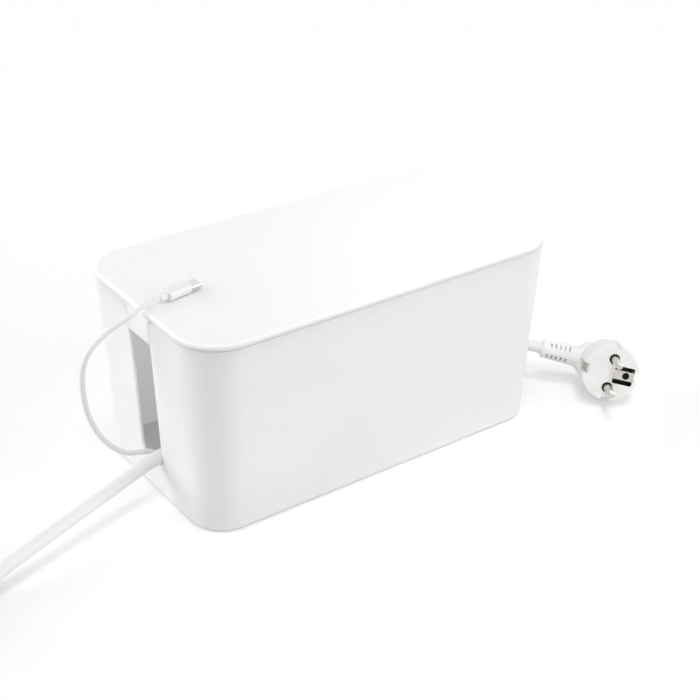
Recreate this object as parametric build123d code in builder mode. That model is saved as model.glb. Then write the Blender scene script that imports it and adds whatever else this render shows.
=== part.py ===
from build123d import *
from math import atan, cos, degrees, pi, radians, sin, tan
import os

os.makedirs("parts", exist_ok=True)

# A cable management box in use: a drafted box with a lift-off lid stands on rubber feet, a two-way
# power strip lies inside, and three cords leave through the slots in the two end walls.
# Origin: middle of the footprint on the table. +X along the box, +Z up, front towards -Y.

# --- box and lid ---
box_length = 252.0
box_width = 136.0
total_height = 124.0
corner_radius = 26.5
wall_lean = 5.9
wall = 2.0
floor_thickness = 2.5
base_edge_round = 1.2
lid_rim = 3.5
lid_plate = 2.5
lid_edge_round = 1.5
lip_depth = 7.0
lip_thickness = 1.6
lip_clearance = 0.35
slot_width = 24.4
slot_floor = 22.0
slot_corner = 5.0
slot_mouth_round = 5.5
tongue_depth = 16.5
tongue_gap = 0.15
mouth_gap = 0.35
seam_round = 0.5
foot_height = 1.0
foot_radius = 7.0
foot_recess = 0.6
foot_gap = 0.1
foot_edge_inset = 24.0
foot_edge_chamfer = 0.3

# --- power strip ---
strip_length = 118.0
strip_width = 52.0
strip_height = 39.5
strip_x = -14.0
strip_y = -22.0
strip_base_height = 14.0
strip_wall = 2.2
strip_floor = 2.2
strip_top = 2.4
strip_corner = 8.0
strip_edge_round = 2.5
socket_pitch = 44.0
socket_inset = 24.0
well_radius = 19.25
well_depth = 17.5
well_wall = 1.8
well_floor = 1.6
well_rim = 1.0
well_gap = 0.15
key_width = 3.4
key_depth = 1.4
pin_pitch = 19.0
pin_radius = 2.4
pin_length = 19.0
pin_shank_radius = 1.9
pin_tip_round = 1.2
pin_hole_radius = 3.0
shutter_radius = 13.5
shutter_thickness = 1.8
shutter_gap = 0.35
shutter_pivot_radius = 1.6
shutter_running_gap = 0.05
shutter_pivot_end = 1.2
shutter_swing = 36.0
clip_width = 6.0
clip_thickness = 0.7
clip_reach = 15.9
clip_side_gap = 0.6
clip_below_rim = 3.0
clip_end_round = 1.5
busbar_thickness = 0.8
busbar_width = 5.0
sleeve_wall = 0.6
sleeve_gap = 0.15
sleeve_slit = 0.6
sleeve_foot = 2.0
sleeve_below_shutter = 1.0
screw_inset = 7.0
screw_shank_radius = 1.4
screw_head_radius = 2.8
screw_head_height = 1.8
screw_length = 24.0
screw_bore_gap = 0.1
boss_wall = 1.9
screw_end_gap = 1.0
strip_edge_chamfer = 0.8
through = 1.0

# --- rocker switch and charging port ---
switch_inset = 19.0
rocker_y = -11.0
rocker_width = 11.6
rocker_length = 18.0
rocker_gap = 0.3
rocker_tilt = 8.0
rocker_pivot_radius = 1.2
rocker_pivot_gap = 0.05
rocker_pivot_end_gap = 0.2
rocker_pivot_drop = 3.0
rocker_depth = 7.0
rocker_foot = 2.5
rocker_end_gap = 0.45
rocker_edge_round = 0.5
rocker_dish = 1.4
frame_wall = 1.2
frame_depth = 11.0
frame_flange = 1.4
frame_flange_height = 1.2
frame_corner = 1.5
frame_chamfer = 0.4
port_y = -36.0
port_width = 13.2
port_height = 5.9
port_wall = 0.4
port_depth = 14.0
port_floor = 1.0
port_mouth = 1.5
port_mouth_gap = 0.1
strip_boot_length = 20.0
strip_boot_radius = 6.4
strip_boot_end_radius = 4.5
strip_boot_flange = 7.0
strip_boot_gap = 0.1
strip_boot_neck = 1.6
strip_boot_flange_thickness = 1.5
strip_cord_drop = 3.5
usb_plug_width = 12.0
usb_plug_height = 4.5
usb_plug_wall = 0.35
usb_plug_insert = 11.5
usb_tongue_width = 10.6
usb_tongue_height = 1.5
board_thickness = 1.6
board_length = 17.0
board_width = 14.0
board_shift = 3.0
board_edge = 1.0
transformer_height = 8.0
grip_width = 16.0
grip_height = 8.0
grip_length = 22.0
grip_boot_length = 5.0
grip_boot_wall = 1.3
grip_boot_end_wall = 0.4
grip_corner = 2.0
grip_edge_round = 1.2

# --- mains plugs, both from one design ---
plug_radius = 18.4
plug_front = 18.0
plug_back = 18.0
plug_back_radius = 11.0
plug_axis_depth = 27.0
plug_lean = 3.0
plug_arm_width = 28.0
plug_arm_height = 18.0
plug_shoulder_width = 24.0
plug_shoulder_height = 17.0
plug_shoulder = 13.0
plug_arm_length = 19.5
plug_groove = 1.0
plug_face_round = 0.8
plug_key_gap = 0.5
earth_slot_length = 10.0
earth_slot_clearance = 1.5
earth_pocket_shift = -1.6
earth_pocket_corner = 1.2
boot_length = 23.0
boot_radius = 7.0
boot_end_radius = 4.9
boot_rib = 1.2
boot_rib_gap = 1.8
boot_rib_count = 5
earth_recess_width = 6.6
earth_radius = 15.4
earth_plate = 0.6
earth_plate_width = 6.0
earth_hole_radius = 2.3
earth_hole_offset = 10.0
earth_pocket_width = 11.8
earth_pocket_depth = 7.0
earth_drop = 13.0
earth_pocket_length = 12.8
plate_drop = 0.8
plate_face_length = 13.2
boot_groove_depth = 3.4

# --- cords ---
mains_cord = 7.5
appliance_cord = 8.0
usb_cord = 3.2
hank_run = 90.0
hank_bend = 23.0
hank_pitch = 7.8
hank_layers = 4
hank_x = 10.0
hank_y = 32.0
coil_radius = 44.2
coil_width = 24.8
coil_height = 16.4
coil_x = -299.4
coil_y = -8.2
small_coil_radius = 17.0
small_coil_x = -96.0
small_coil_y = -36.0
small_coil_height = 24.0
tie_thickness = 0.8
tie_width = 6.0
tie_gap = 0.4
bundle_slack = 0.15
hank_chamfer = 1.6
coil_edge_share = 0.3

# --- connectors at the far ends ---
connector_boot_length = 25.0
iec_width = 28.0
iec_height = 17.0
iec_length = 34.0
iec_corner_cut = 5.5
iec_slot_width = 6.4
iec_slot_height = 3.0
iec_slot_depth = 14.0
iec_slot_pitch = 7.0
iec_contact = 0.7
iec_contact_gap = 0.5
iec_contact_drop = 2.5
iec_shoulder = 8.0
iec_edge_round = 0.8
iec_slot_shift = 2.0
charge_grip_width = 8.6
charge_grip_height = 6.4
charge_grip_length = 15.7
charge_grip_corner = 3.0
charge_edge_round = 0.4
charge_collar_radius = 2.4
charge_collar_length = 5.0
charge_tip_width = 8.3
charge_tip_height = 2.5
charge_tip_length = 6.7
charge_tip_wall = 0.4
charge_tip_corner = 1.2
charge_tip_round = 0.15
charge_tip_floor = 1.0

# --- where the loose mains plug lies, and the routes of the cords ---
loose_plug_face = (166.7, -82.5, 22.9)
loose_plug_side = (0.751, -0.628, -0.203)
loose_plug_pins = (-0.571, -0.773, 0.279)
strip_lead_start_x = strip_x + strip_length / 2 + strip_boot_length + strip_boot_gap
turn_route = [
    (79.7, -22.0, 14.0),
    (96.6, -15.9, 13.4),
    (108.8, -3.4, 12.2),
    (114.2, 13.3, 10.9),
    (111.3, 31.6, 9.7),
    (99.6, 46.9, 8.7),
    (81.1, 55.0, 8.2),
    (65.0, 55.0, 8.1),
]
mains_route = [
    (50.0, 9.0, 31.6),
    (67.0, 9.2, 31.5),
    (86.0, 9.0, 30.8),
    (101.0, 6.6, 30.0),
    (113.5, 1.2, 29.2),
    (123.5, -6.8, 28.4),
    (133.5, -16.2, 27.2),
    (142.9, -25.2, 25.6),
]
appliance_route = [
    (-33.0, -22.0, 56.3),
    (-48.0, -21.8, 56.6),
    (-62.5, -20.8, 54.7),
    (-76.0, -18.8, 50.2),
    (-87.0, -16.2, 43.4),
    (-98.0, -12.2, 36.2),
    (-110.3, -8.4, 30.0),
    (-126.0, -7.4, 26.9),
    (-147.0, -10.8, 24.9),
    (-169.5, -18.0, 22.8),
    (-192.2, -26.7, 20.4),
    (-213.7, -34.8, 17.8),
    (-234.0, -41.2, 14.6),
    (-252.0, -47.0, 10.0),
    (-267.5, -52.4, 6.2),
    (-281.6, -57.4, 4.9),
]
tail_route = [
    (-351.8, -20.0, 13.1),
    (-352.3, -8.0, 12.9),
    (-353.4, 4.0, 11.3),
    (-354.2, 16.0, 9.3),
    (-354.2, 28.0, 9.3),
]
drop_route = [
    (-54.0, -36.0, 80.0),
    (-57.8, -38.6, 88.0),
    (-64.7, -43.3, 91.7),
    (-72.2, -48.4, 89.8),
    (-77.2, -51.9, 83.0),
    (-79.2, -53.3, 73.5),
    (-79.5, -53.7, 63.0),
    (-79.3, -53.4, 52.0),
    (-79.2, -51.8, 42.0),
    (-79.1, -46.8, 33.4),
    (-79.1, -39.6, 28.2),
    (-79.0, -31.5, 26.6),
]
loop_low = [
    (-90.5, -19.0, 5.9),
    (-98.5, -18.9, 6.6),
    (-105.5, -15.8, 9.6),
    (-110.0, -9.0, 14.6),
    (-114.0, -2.6, 20.8),
    (-120.0, 1.8, 25.6),
    (-128.0, 2.9, 27.3),
    (-137.4, 2.6, 29.7),
    (-146.5, 1.8, 38.9),
    (-154.0, 0.0, 49.8),
    (-161.2, -2.0, 68.0),
    (-163.1, -3.0, 90.2),
]
loop_top = [
    (-159.9, -4.9, 106.7),
    (-147.2, -6.9, 117.3),
    (-133.2, -8.8, 123.3),
    (-126.0, -8.4, 127.2),
]
charge_grip_x = -94.3
charge_grip_y = -2.2
charge_turn = 11.0

# --- worked out from the sizes above ---
draft = degrees(atan(wall_lean / total_height))
rim_height = total_height - lid_rim
inner_floor = foot_height + floor_thickness
strip_top_height = inner_floor + strip_height
strip_split = inner_floor + strip_base_height
strip_inside = inner_floor + strip_floor
strip_right = strip_x + strip_length / 2
right_socket_x = strip_right - socket_inset
switch_x = strip_x - strip_length / 2 + switch_inset
left_socket_x = right_socket_x - socket_pitch
well_face = strip_top_height + well_rim - well_depth
written = []


def save(part, name):
    part.label = name
    export_step(part, f"parts/{name}.step")
    written.append(name)


def both_ends(distance, height=0):
    """Two places, the same distance each side of the middle."""
    return [(side * distance, height) for side in (-1, 1)]


def half_sizes(height, inset):
    """Half length, half width and corner radius of the drafted form at one height."""
    lean = wall_lean * (total_height - height) / total_height
    return box_length / 2 - lean - inset, box_width / 2 - lean - inset, corner_radius - lean - inset


def drafted_form(low, high, inset):
    """The box's outline between two heights, moved in by the inset, leaning out as it rises."""
    half_length, half_width, radius = half_sizes(low, inset)
    with BuildPart() as form:
        with BuildSketch(Plane.XY.offset(low)):
            RectangleRounded(2 * half_length, 2 * half_width, radius)
        extrude(amount=high - low, taper=-draft)
    return form.part


# ---------------------------------------------------------------- box body
foot_x = half_sizes(0, foot_edge_inset)[0]
foot_y = half_sizes(0, foot_edge_inset)[1]

with BuildSketch(Plane.YZ) as slot_profile:
    with Locations((0, (slot_floor + rim_height + wall) / 2)):
        Rectangle(slot_width, rim_height + wall - slot_floor)
    fillet(slot_profile.vertices().group_by(Axis.Z)[0], slot_corner)
    with Locations((0, rim_height - slot_mouth_round / 2)):
        Rectangle(slot_width + 2 * slot_mouth_round, slot_mouth_round)
    with Locations(*both_ends(slot_width / 2 + slot_mouth_round, rim_height - slot_mouth_round)):
        Circle(slot_mouth_round, mode=Mode.SUBTRACT)

cavity_form = drafted_form(inner_floor, rim_height + 1, wall)

with BuildPart() as box_body:
    add(drafted_form(foot_height, rim_height, 0))
    fillet(box_body.faces().sort_by(Axis.Z)[0].edges(), base_edge_round)
    fillet(box_body.faces().sort_by(Axis.Z)[-1].edges(), seam_round)
    add(cavity_form, mode=Mode.SUBTRACT)
    extrude(slot_profile.sketch, amount=box_length, both=True, mode=Mode.SUBTRACT)
    with BuildSketch(Plane.XY.offset(foot_height)):
        with GridLocations(2 * foot_x, 2 * foot_y, 2, 2):
            Circle(foot_radius + foot_gap)
    extrude(amount=foot_recess, mode=Mode.SUBTRACT)
save(box_body.part, "box_body")

with BuildPart() as rubber_feet:
    with BuildSketch():
        with GridLocations(2 * foot_x, 2 * foot_y, 2, 2):
            Circle(foot_radius)
    extrude(amount=foot_height + foot_recess)
    chamfer(rubber_feet.edges().group_by(Axis.Z)[0], foot_edge_chamfer)
save(rubber_feet.part, "rubber_feet")

# ---------------------------------------------------------------- lid
lip_low = rim_height - lip_depth
plate_low = total_height - lid_plate
lip_outer = drafted_form(lip_low, plate_low + 0.5, wall + lip_clearance)
lip_inner = drafted_form(lip_low, plate_low, wall + lip_clearance + lip_thickness)
tongue_low = rim_height - tongue_depth
tongue_width = slot_width - 2 * tongue_gap
tongue_flare = slot_mouth_round + mouth_gap

with BuildSketch(Plane.YZ) as tongue_profile:
    with Locations((0, (tongue_low + rim_height) / 2)):
        Rectangle(tongue_width, tongue_depth)
    with Locations((0, rim_height - slot_mouth_round / 2)):
        Rectangle(tongue_width + 2 * tongue_flare, slot_mouth_round)
    with Locations(*both_ends(slot_width / 2 + slot_mouth_round, rim_height - slot_mouth_round)):
        Circle(tongue_flare, mode=Mode.SUBTRACT)

with BuildPart() as tongues:
    add(drafted_form(tongue_low, rim_height, 0))
    add(drafted_form(tongue_low, rim_height, wall + lip_clearance), mode=Mode.SUBTRACT)
    extrude(tongue_profile.sketch, amount=box_length, both=True, mode=Mode.INTERSECT)

with BuildPart() as lid:
    add(drafted_form(rim_height, total_height, 0))
    fillet(lid.faces().sort_by(Axis.Z)[-1].edges(), lid_edge_round)
    fillet(lid.faces().sort_by(Axis.Z)[0].edges(), seam_round)
    add(drafted_form(rim_height, plate_low, wall), mode=Mode.SUBTRACT)
    add(lip_outer)
    add(lip_inner, mode=Mode.SUBTRACT)
    add(tongues.part)
save(lid.part, "lid")

# ---------------------------------------------------------------- power strip housing
strip_middle = Plane.XY.offset(inner_floor)
strip_inner_corner = strip_corner - strip_wall
screw_x = strip_length / 2 - screw_inset
screw_y = strip_width / 2 - screw_inset
boss_radius = screw_shank_radius + screw_bore_gap + boss_wall
screw_spots = [(strip_x + sx * screw_x, strip_y + sy * screw_y) for sx in (-1, 1) for sy in (-1, 1)]
socket_spots = [(left_socket_x, strip_y), (right_socket_x, strip_y)]
boot_bore = mains_cord / 2 + strip_boot_neck
strip_cord_height = strip_split - strip_cord_drop
port_centre = (switch_x, port_y)
rocker_centre = (switch_x, rocker_y)
rocker_hole_width = rocker_width + 2 * (rocker_gap + frame_wall)
rocker_hole_length = rocker_length + 2 * (rocker_gap + frame_wall)

with BuildPart() as strip_base:
    with BuildSketch(strip_middle):
        with Locations((strip_x, strip_y)):
            RectangleRounded(strip_length, strip_width, strip_corner)
    extrude(amount=strip_base_height)
    chamfer(strip_base.faces().sort_by(Axis.Z)[0].edges(), strip_edge_chamfer)
    with BuildSketch(strip_middle.offset(strip_floor)):
        with Locations((strip_x, strip_y)):
            RectangleRounded(strip_length - 2 * strip_wall, strip_width - 2 * strip_wall, strip_inner_corner)
    extrude(amount=strip_base_height, mode=Mode.SUBTRACT)
    with BuildSketch(strip_middle.offset(strip_floor / 2)):
        with Locations(*screw_spots):
            Circle(boss_radius)
    extrude(amount=strip_base_height - strip_floor / 2)
    with BuildSketch(strip_middle):
        with Locations(*screw_spots):
            Circle(screw_shank_radius + screw_bore_gap)
    extrude(amount=strip_base_height, mode=Mode.SUBTRACT)
    with BuildSketch(strip_middle):
        with Locations(*screw_spots):
            Circle(screw_head_radius + screw_bore_gap)
    extrude(amount=screw_head_height, mode=Mode.SUBTRACT)
    with BuildSketch(Plane.YZ.offset(strip_right - strip_wall - through)):
        with Locations((strip_y, strip_cord_height)):
            Circle(boot_bore)
        with Locations((strip_y, strip_cord_height + boot_bore)):
            Rectangle(2 * boot_bore, 2 * boot_bore)
    extrude(amount=strip_wall + 2 * through, mode=Mode.SUBTRACT)
save(strip_base.part, "strip_base")

with BuildPart() as strip_cover:
    with BuildSketch(Plane.XY.offset(strip_split)):
        with Locations((strip_x, strip_y)):
            RectangleRounded(strip_length, strip_width, strip_corner)
    extrude(amount=strip_top_height - strip_split)
    fillet(strip_cover.faces().sort_by(Axis.Z)[-1].edges(), strip_edge_round)
    with BuildSketch(Plane.XY.offset(strip_split)):
        with Locations((strip_x, strip_y)):
            RectangleRounded(strip_length - 2 * strip_wall, strip_width - 2 * strip_wall, strip_inner_corner)
    extrude(amount=strip_top_height - strip_split - strip_top, mode=Mode.SUBTRACT)
    with BuildSketch(Plane.XY.offset(strip_split)):
        with Locations(*screw_spots):
            Circle(boss_radius)
    extrude(amount=strip_top_height - strip_split - strip_top / 2)
    with BuildSketch(Plane.XY.offset(strip_split)):
        with Locations(*screw_spots):
            Circle(screw_shank_radius + screw_bore_gap)
    extrude(amount=screw_length - strip_base_height + screw_end_gap, mode=Mode.SUBTRACT)
    with BuildSketch(Plane.XY.offset(strip_top_height + through)):
        with Locations(*socket_spots):
            Circle(well_radius + well_wall + well_gap)
        with Locations(rocker_centre):
            Rectangle(rocker_hole_width + 2 * well_gap, rocker_hole_length + 2 * well_gap)
        with Locations(port_centre):
            Rectangle(port_width + 2 * well_gap, port_height + 2 * well_gap)
    extrude(amount=-strip_top - 2 * through, mode=Mode.SUBTRACT)
    with BuildSketch(Plane.YZ.offset(strip_right - strip_wall - through)):
        with Locations((strip_y, strip_cord_height)):
            Circle(boot_bore)
    extrude(amount=strip_wall + 2 * through, mode=Mode.SUBTRACT)
save(strip_cover.part, "strip_cover")

with BuildPart() as strip_screws:
    with BuildSketch(strip_middle):
        with Locations(*screw_spots):
            Circle(screw_head_radius)
    extrude(amount=screw_head_height)
    with BuildSketch(strip_middle):
        with Locations(*screw_spots):
            Circle(screw_shank_radius)
    extrude(amount=screw_length)
save(strip_screws.part, "strip_screws")

# ---------------------------------------------------------------- socket wells, shutters and contacts
clip_slot_width = clip_width + 2 * clip_side_gap
clip_slot_depth = well_radius - clip_reach + 2 * clip_side_gap
clip_slot_middle = (well_radius + clip_reach) / 2
pin_spots = [(0, side * pin_pitch / 2) for side in (-1, 1)]
pivot_height = shutter_gap + shutter_thickness + shutter_pivot_end


def socket_well(x, name):
    face = Plane((x, strip_y, well_face))
    with BuildPart() as well:
        with BuildSketch(face.offset(-well_floor)):
            Circle(well_radius + well_wall)
        extrude(amount=well_floor + well_depth)
        with BuildSketch(face):
            Circle(well_radius)
            with Locations(*[(0, side * well_radius) for side in (-1, 1)]):
                Rectangle(key_width, 2 * key_depth, mode=Mode.SUBTRACT)
        extrude(amount=well_depth, mode=Mode.SUBTRACT)
        with BuildSketch(face.offset(-well_floor)):
            with Locations(*pin_spots):
                Circle(pin_hole_radius)
            with Locations(*both_ends(clip_slot_middle)):
                Rectangle(clip_slot_depth, clip_slot_width)
        extrude(amount=well_floor, mode=Mode.SUBTRACT)
        with BuildSketch(face.offset(-well_floor)):
            Circle(shutter_pivot_radius)
        extrude(amount=-pivot_height)
    save(well.part, name)


def shutter(x, name, closed):
    turn = shutter_swing if closed else 0
    with BuildPart() as disc:
        with BuildSketch(Plane((x, strip_y, well_face - well_floor - shutter_gap))):
            Circle(shutter_radius)
            Circle(shutter_pivot_radius + shutter_running_gap, mode=Mode.SUBTRACT)
            with PolarLocations(pin_pitch / 2, 2, start_angle=90 + turn):
                Circle(pin_hole_radius, mode=Mode.SUBTRACT)
        extrude(amount=-shutter_thickness)
    save(disc.part, name)


for x, side_name, closed in ((left_socket_x, "left", True), (right_socket_x, "right", False)):
    socket_well(x, f"socket_well_{side_name}")
    shutter(x, f"shutter_{side_name}", closed)

shutter_low = well_face - well_floor - shutter_gap - shutter_thickness
bar_low = strip_inside
sleeve_top = shutter_low - sleeve_below_shutter
sleeve_radius = pin_radius + sleeve_gap + sleeve_wall
bar_left = switch_x
bar_right = right_socket_x + sleeve_radius + sleeve_foot


def pin_busbar(y, name):
    with BuildPart() as bar:
        with BuildSketch(Plane.XY.offset(bar_low)):
            with Locations(((bar_left + bar_right) / 2, y)):
                Rectangle(bar_right - bar_left, busbar_width)
        extrude(amount=busbar_thickness)
        with BuildSketch(Plane.XY.offset(bar_low)):
            with Locations((left_socket_x, y), (right_socket_x, y)):
                Circle(sleeve_radius)
        extrude(amount=sleeve_top - bar_low)
        with BuildSketch(Plane.XY.offset(bar_low + busbar_thickness)):
            with Locations((left_socket_x, y), (right_socket_x, y)):
                Circle(pin_radius + sleeve_gap)
        extrude(amount=sleeve_top - bar_low, mode=Mode.SUBTRACT)
        with BuildSketch(Plane.XY.offset(bar_low + busbar_thickness + sleeve_foot)):
            with Locations((left_socket_x, y), (right_socket_x, y)):
                Rectangle(2 * sleeve_radius + sleeve_slit, sleeve_slit)
        extrude(amount=sleeve_top - bar_low, mode=Mode.SUBTRACT)
    save(bar.part, name)


pin_busbar(strip_y - pin_pitch / 2, "live_busbar")
pin_busbar(strip_y + pin_pitch / 2, "neutral_busbar")

clip_out = clip_reach + clip_thickness
clip_top = well_face + well_depth - clip_below_rim

with BuildPart() as earth_busbar:
    with BuildSketch(Plane.XY.offset(bar_low)):
        with Locations(((left_socket_x + right_socket_x) / 2, strip_y)):
            Rectangle(socket_pitch + 2 * clip_out, busbar_width)
    extrude(amount=busbar_thickness)
    with BuildSketch(Plane.XY.offset(bar_low)):
        for x in (left_socket_x, right_socket_x):
            for side in (-1, 1):
                with Locations((x + side * (clip_reach + clip_thickness / 2), strip_y)):
                    Rectangle(clip_thickness, clip_width)
    extrude(amount=clip_top - bar_low)
    fillet(earth_busbar.edges().filter_by(Axis.X).group_by(Axis.Z)[-1], clip_end_round)
save(earth_busbar.part, "earth_busbar")

# ---------------------------------------------------------------- rocker switch
pivot_z = strip_top_height - rocker_pivot_drop
flange_top = strip_top_height + frame_flange_height
flange_width = rocker_hole_width + 2 * frame_flange
flange_length = rocker_hole_length + 2 * frame_flange

with BuildPart() as rocker_frame:
    with BuildSketch(Plane.XY.offset(strip_top_height)):
        with Locations(rocker_centre):
            RectangleRounded(flange_width, flange_length, frame_corner)
    extrude(amount=frame_flange_height)
    chamfer(rocker_frame.faces().sort_by(Axis.Z)[-1].edges(), frame_chamfer)
    with BuildSketch(Plane.XY.offset(flange_top - frame_depth)):
        with Locations(rocker_centre):
            Rectangle(rocker_hole_width, rocker_hole_length)
    extrude(amount=frame_depth - frame_flange_height)
    with BuildSketch(Plane.XY.offset(flange_top - frame_depth + frame_wall)):
        with Locations(rocker_centre):
            Rectangle(rocker_width + 2 * rocker_gap, rocker_length + 2 * rocker_gap)
    extrude(amount=frame_depth, mode=Mode.SUBTRACT)
    with BuildSketch(Plane.YZ.offset(switch_x)):
        with Locations((rocker_y, pivot_z)):
            Circle(rocker_pivot_radius + rocker_pivot_gap)
    extrude(amount=rocker_hole_width / 2 + through, both=True, mode=Mode.SUBTRACT)
save(rocker_frame.part, "rocker_frame")

rocker_plane = Plane(
    origin=(switch_x, rocker_y, pivot_z),
    x_dir=(0, cos(radians(rocker_tilt)), sin(radians(rocker_tilt))),
    z_dir=(1, 0, 0),
)
half_rocker = rocker_length / 2 - rocker_end_gap
rocker_crest = rocker_pivot_drop + frame_flange_height + rocker_dish
rocker_low = rocker_foot - rocker_depth

with BuildPart() as rocker:
    with BuildSketch(rocker_plane):
        with BuildLine():
            Polyline(
                (-half_rocker, rocker_crest),
                (-half_rocker, 0),
                (-rocker_foot, rocker_low),
                (rocker_foot, rocker_low),
                (half_rocker, 0),
                (half_rocker, rocker_crest),
            )
            ThreePointArc(
                (half_rocker, rocker_crest),
                (0, rocker_crest - 2 * rocker_dish),
                (-half_rocker, rocker_crest),
            )
        make_face()
    extrude(amount=rocker_width / 2, both=True)
    fillet(rocker.edges().filter_by(Axis.X).group_by(Axis.Z)[-1], rocker_edge_round)
    with BuildSketch(rocker_plane):
        Circle(rocker_pivot_radius)
    extrude(amount=rocker_hole_width / 2 - rocker_pivot_end_gap, both=True)
save(rocker.part, "rocker")

# ---------------------------------------------------------------- charging port
board_top = strip_top_height - port_depth

with BuildPart() as usb_port:
    with BuildSketch(Plane.XY.offset(board_top)):
        with Locations(port_centre):
            Rectangle(port_width, port_height)
    extrude(amount=port_depth)
    with BuildSketch(Plane.XY.offset(board_top + port_floor)):
        with Locations(port_centre):
            Rectangle(port_width - 2 * port_wall, port_height - 2 * port_wall)
            Rectangle(usb_tongue_width, usb_tongue_height, mode=Mode.SUBTRACT)
    extrude(amount=port_depth, mode=Mode.SUBTRACT)
    with BuildSketch(Plane.XY.offset(strip_top_height - port_mouth)):
        with Locations(port_centre):
            Rectangle(usb_tongue_width + 2 * port_mouth_gap, usb_tongue_height + 2 * port_mouth_gap)
    extrude(amount=port_mouth, mode=Mode.SUBTRACT)
save(usb_port.part, "usb_port")

with BuildPart() as charger_board:
    with BuildSketch(Plane.XY.offset(board_top - board_thickness)):
        with Locations((switch_x, port_y + board_shift)):
            Rectangle(board_length, board_width)
    extrude(amount=board_thickness)
    with BuildSketch(Plane.XY.offset(board_top - board_thickness)):
        with Locations(*[(switch_x + side * board_length / 4, port_y + board_shift) for side in (-1, 1)]):
            Rectangle(board_length / 2 - 2 * board_edge, board_width - 2 * board_edge)
    extrude(amount=-transformer_height)
save(charger_board.part, "charger_board")

# ---------------------------------------------------------------- mains plugs
def heading_of(frame):
    """The way the cord leaves a plug: sideways, leaning back from the pins."""
    return frame.x_dir * -cos(radians(plug_lean)) + frame.z_dir * -sin(radians(plug_lean))


def mains_plug(frame, prefix):
    """One moulded plug in four pieces; returns the place where its boot lets the cord go."""
    heading = heading_of(frame)
    axis_point = frame.origin - frame.z_dir * plug_axis_depth
    shoulder_point = axis_point + heading * plug_shoulder
    arm_end = axis_point + heading * plug_arm_length
    boot_end = arm_end + heading * boot_length

    with BuildPart() as body:
        with BuildSketch(frame):
            Circle(plug_radius)
        extrude(amount=-plug_front)
        fillet(body.faces().sort_by(Axis(frame.origin, frame.z_dir))[-1].edges(), plug_face_round)
        with BuildSketch(frame.offset(-plug_front)):
            Circle(plug_radius)
        with BuildSketch(frame.offset(-plug_front - plug_back)):
            Circle(plug_back_radius)
        loft()
        with BuildSketch(Plane(origin=axis_point, x_dir=frame.y_dir, z_dir=heading)):
            Ellipse(plug_arm_width / 2, plug_arm_height / 2)
        with BuildSketch(Plane(origin=shoulder_point, x_dir=frame.y_dir, z_dir=heading)):
            Ellipse(plug_shoulder_width / 2, plug_shoulder_height / 2)
        loft()
        with BuildSketch(Plane(origin=shoulder_point, x_dir=frame.y_dir, z_dir=heading)):
            Ellipse(plug_shoulder_width / 2, plug_shoulder_height / 2)
        with BuildSketch(Plane(origin=arm_end, x_dir=frame.y_dir, z_dir=heading)):
            Circle(boot_radius)
        loft()
        with BuildSketch(frame):
            with Locations((0, -plug_radius), (0, plug_radius)):
                Rectangle(key_width + 2 * plug_key_gap, 2 * (key_depth + plug_key_gap))
        extrude(amount=-plug_front, mode=Mode.SUBTRACT)
        with BuildSketch(frame):
            with Locations(*both_ends(earth_radius - earth_plate + earth_slot_length / 2)):
                Rectangle(earth_slot_length, earth_recess_width)
        extrude(amount=-earth_drop - earth_slot_clearance, mode=Mode.SUBTRACT)
        with BuildSketch(frame):
            with Locations((earth_hole_offset + earth_pocket_shift, 0)):
                RectangleRounded(earth_pocket_length, earth_pocket_width, earth_pocket_corner)
        extrude(amount=-earth_pocket_depth, mode=Mode.SUBTRACT)
        with BuildSketch(frame):
            with Locations(*pin_spots):
                Circle(pin_radius + plug_groove)
        extrude(amount=-plug_groove, mode=Mode.SUBTRACT)
        with BuildSketch(frame):
            with Locations(*pin_spots):
                Circle(pin_shank_radius)
        extrude(amount=-plug_front / 2, mode=Mode.SUBTRACT)
    save(body.part, f"{prefix}_body")

    with BuildPart() as pins:
        with BuildSketch(frame.offset(-plug_front / 2)):
            with Locations(*pin_spots):
                Circle(pin_shank_radius)
        extrude(amount=plug_front / 2)
        with BuildSketch(frame):
            with Locations(*pin_spots):
                Circle(pin_radius)
        extrude(amount=pin_length)
        chamfer(pins.faces().group_by(Axis(frame.origin, frame.z_dir))[-1].edges(), pin_tip_round)
    save(pins.part, f"{prefix}_pins")

    with BuildPart() as plates:
        with BuildSketch(frame.offset(-plate_drop)):
            with Locations((earth_radius - plate_face_length / 2, 0)):
                Rectangle(plate_face_length, earth_plate_width)
            with Locations((earth_hole_offset, 0)):
                Circle(earth_hole_radius, mode=Mode.SUBTRACT)
        extrude(amount=-earth_plate)
        with BuildSketch(frame.offset(-plate_drop)):
            with Locations(*both_ends(earth_radius - earth_plate / 2)):
                Rectangle(earth_plate, earth_plate_width)
        extrude(amount=-earth_drop + plate_drop)
    save(plates.part, f"{prefix}_earth_plates")

    with BuildPart() as boot:
        with BuildSketch(Plane(origin=arm_end, z_dir=heading)):
            Circle(boot_radius)
        with BuildSketch(Plane(origin=boot_end, z_dir=heading)):
            Circle(boot_end_radius)
        loft()
        for index in range(boot_rib_count):
            start = arm_end + heading * (boot_rib + boot_rib_gap + index * (boot_rib + boot_rib_gap))
            with BuildSketch(Plane(origin=start, x_dir=frame.y_dir, z_dir=heading)):
                with Locations(*both_ends(boot_radius)):
                    Rectangle(boot_groove_depth, 2 * boot_radius)
            extrude(amount=boot_rib_gap, mode=Mode.SUBTRACT)
    save(boot.part, f"{prefix}_boot")
    return boot_end


socket_frame = Plane(origin=(right_socket_x, strip_y, well_face), x_dir=(1, 0, 0), z_dir=(0, 0, -1))
loose_frame = Plane(origin=loose_plug_face, x_dir=loose_plug_side, z_dir=loose_plug_pins)
appliance_start = mains_plug(socket_frame, "appliance_plug")
mains_end = mains_plug(loose_frame, "mains_plug")

# ---------------------------------------------------------------- strip lead's boot
boot_root = strip_right + strip_boot_gap

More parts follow.
